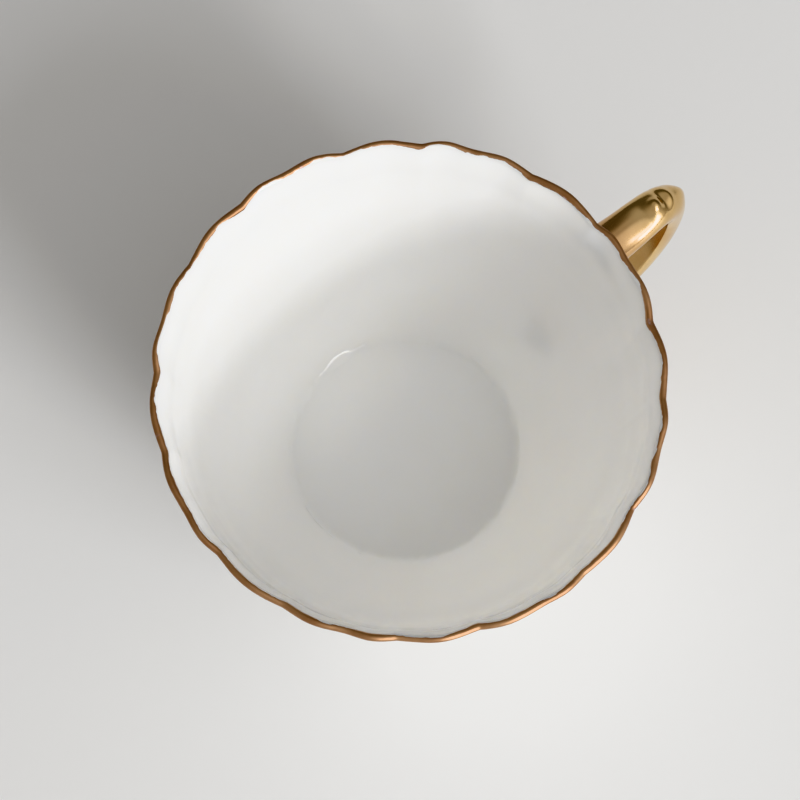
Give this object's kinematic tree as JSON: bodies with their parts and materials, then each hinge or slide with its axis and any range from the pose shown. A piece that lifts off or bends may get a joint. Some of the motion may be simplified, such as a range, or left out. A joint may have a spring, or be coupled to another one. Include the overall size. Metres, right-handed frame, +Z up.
{
  "type": "teacup",
  "caption": "Fine china teacup: scalloped bowl on a low foot ring, gilded looped handle with a thumb rest, gilded wavy rim.",
  "frame": {"origin": "on the bowl's axis, in the plane that the foot ring stands on", "axes": "+Z up along the bowl's axis, +X towards the handle"},
  "size_m": [0.1139, 0.0956, 0.0612],
  "materials": {
    "china": "gloss",
    "fired_slip": "satin",
    "gilding": "polished"
  },
  "bodies": {
    "root": {"bowl": "china", "foot_ring": "china", "handle": "china", "foot_slip": "fired_slip", "lower_handle_slip": "fired_slip", "upper_handle_slip": "fired_slip", "handle_gilding": "gilding", "rim_gilding": "gilding", "foot_gilding": "gilding"}
  },
  "joints": []
}
